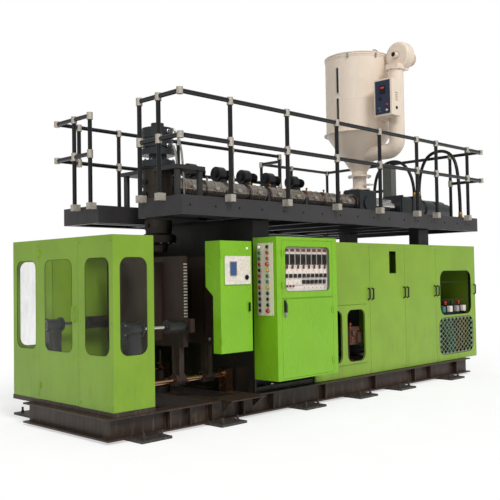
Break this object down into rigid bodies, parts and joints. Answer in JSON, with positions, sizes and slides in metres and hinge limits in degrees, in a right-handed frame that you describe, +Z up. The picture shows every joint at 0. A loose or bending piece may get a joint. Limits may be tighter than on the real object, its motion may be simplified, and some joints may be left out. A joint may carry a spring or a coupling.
{
  "type": "blow moulding machine",
  "caption": "Green extrusion blow moulding machine with guarded clamp, control cabinet, railed platform, extruder and hopper dryer",
  "frame": {"origin": "on the floor, at the middle of the machine's length and width", "axes": "+X along the machine from the clamp towards the drive motor, -Y towards the operator, +Z up"},
  "size_m": [7.531, 3.192, 4.78],
  "materials": {
    "machine_green": "satin paint",
    "cabinet_green": "gloss paint",
    "guard_green": "satin paint",
    "base_brown": "satin paint",
    "platform_grey": "satin paint",
    "rail_black": "gloss paint",
    "fitting_grey": "zinc coated",
    "panel_cream": "satin paint",
    "hopper_ivory": "gloss paint",
    "drive_slate": "satin paint",
    "platen_brown": "satin paint",
    "steel": "machined",
    "chrome": "polished",
    "blower_grey": "satin paint",
    "dark_interior": "satin paint",
    "pane": "clear",
    "stop_red": "gloss",
    "hose_black": "matt",
    "pad_dark": "painted"
  },
  "bodies": {
    "machine": {"base_frame": "base_brown", "floor_pads": "pad_dark", "guard_near_wing": "machine_green", "guard_far_wing": "guard_green", "guard_panes": "pane", "platform_edge": "platform_grey", "platform_deck": "platform_grey", "platform_columns": "platform_grey", "railing_pipes": "rail_black", "railing_fittings": "fitting_grey", "side_panel_1": "machine_green", "side_panel_2": "machine_green", "side_panel_3": "machine_green", "side_panel_4": "machine_green", "panel_handles": "rail_black", "mesh_grille": "steel", "enclosure_frame": "dark_interior", "rear_panels": "machine_green", "bulkhead": "dark_interior", "cabinet_shell": "cabinet_green", "instrument_panel": "panel_cream", "control_plate": "panel_cream", "station_box": "cabinet_green", "die_head": "steel", "head_bridge": "platform_grey", "ram_cylinder": "drive_slate", "extruder_barrel": "steel", "heater_bands": "steel", "cooling_blowers": "blower_grey", "extruder_bed": "platform_grey", "feed_housing": "drive_slate", "thrust_sleeve": "chrome", "gearbox": "drive_slate", "drive_motor": "drive_slate", "hopper_body": "hopper_ivory", "hopper_throat": "hopper_ivory", "dryer_duct": "hopper_ivory", "dryer_blower": "hopper_ivory", "dryer_box": "hopper_ivory", "clamp_cylinders": "drive_slate", "guide_shafts": "chrome", "hydraulic_unit": "dark_interior", "drive_hose_front": "hose_black", "drive_hose_rear": "hose_black"},
    "guard_door": {"guard_door": "guard_green", "guard_door_pane": "pane"},
    "cabinet_door": {"cabinet_door": "cabinet_green"},
    "window_door": {"window_door": "cabinet_green", "window_pane": "pane"},
    "station_door": {"station_door": "cabinet_green"},
    "hatch_door": {"hatch_door": "machine_green"},
    "front_platen": {"front_platen": "platen_brown", "clamp_rods": "chrome"},
    "rear_platen": {"rear_platen": "platen_brown"},
    "hopper_lid": {"hopper_lid": "hopper_ivory"},
    "extruder_screw": {"extruder_screw": "steel"},
    "die_mandrel": {"die_mandrel": "steel"},
    "blow_pin": {"blow_pin": "steel"},
    "upper_stop": {"upper_stop": "stop_red"},
    "lower_stop": {"lower_stop": "stop_red"}
  },
  "joints": [
    {"name": "guard_door_hinge", "type": "hinge", "parent": "machine", "child": "guard_door", "pos_m": [-3.6928, 0.032, 1.089], "axis": [0, 0, -1], "range_deg": [0, 110]},
    {"name": "cabinet_door_hinge", "type": "hinge", "parent": "machine", "child": "cabinet_door", "pos_m": [-0.8835, -1.5763, 0.825], "axis": [0, 0, 1], "range_deg": [0, 120]},
    {"name": "window_door_hinge", "type": "hinge", "parent": "machine", "child": "window_door", "pos_m": [-1.7375, -1.5763, 1.567], "axis": [0, 0, -1], "range_deg": [0, 120]},
    {"name": "station_door_hinge", "type": "hinge", "parent": "machine", "child": "station_door", "pos_m": [-2.4405, -1.3763, 1.29], "axis": [0, 0, -1], "range_deg": [0, 110]},
    {"name": "hatch_door_hinge", "type": "hinge", "parent": "machine", "child": "hatch_door", "pos_m": [0.2625, -1.2203, 0.753], "axis": [0, 0, 1], "range_deg": [0, 120]},
    {"name": "front_platen_slide", "type": "slide", "parent": "machine", "child": "front_platen", "axis": [1, 0, 0], "range_m": [0, 0.12]},
    {"name": "rear_platen_slide", "type": "slide", "parent": "machine", "child": "rear_platen", "axis": [-1, 0, 0], "range_m": [0, 0.12]},
    {"name": "hopper_lid_hinge", "type": "hinge", "parent": "machine", "child": "hopper_lid", "pos_m": [1.3755, 0.182, 4.65], "axis": [-1, 0, 0], "range_deg": [0, 75]},
    {"name": "extruder_screw_turn", "type": "hinge", "parent": "machine", "child": "extruder_screw", "pos_m": [0, -0.298, 2.53], "axis": [1, 0, 0], "continuous": true},
    {"name": "die_mandrel_slide", "type": "slide", "parent": "machine", "child": "die_mandrel", "axis": [0, 0, 1], "range_m": [-0.012, 0.02]},
    {"name": "blow_pin_slide", "type": "slide", "parent": "machine", "child": "blow_pin", "axis": [0, 0, 1], "range_m": [0, 0.15]},
    {"name": "upper_stop_slide", "type": "slide", "parent": "machine", "child": "upper_stop", "axis": [1, 0, 0], "range_m": [0, 0.006], "stiffness_N_per_m": 1500},
    {"name": "lower_stop_slide", "type": "slide", "parent": "machine", "child": "lower_stop", "axis": [1, 0, 0], "range_m": [0, 0.006], "stiffness_N_per_m": 1500}
  ],
  "couplings": [
    {"joint": "rear_platen_slide", "follows": "front_platen_slide", "ratio": 1}
  ]
}
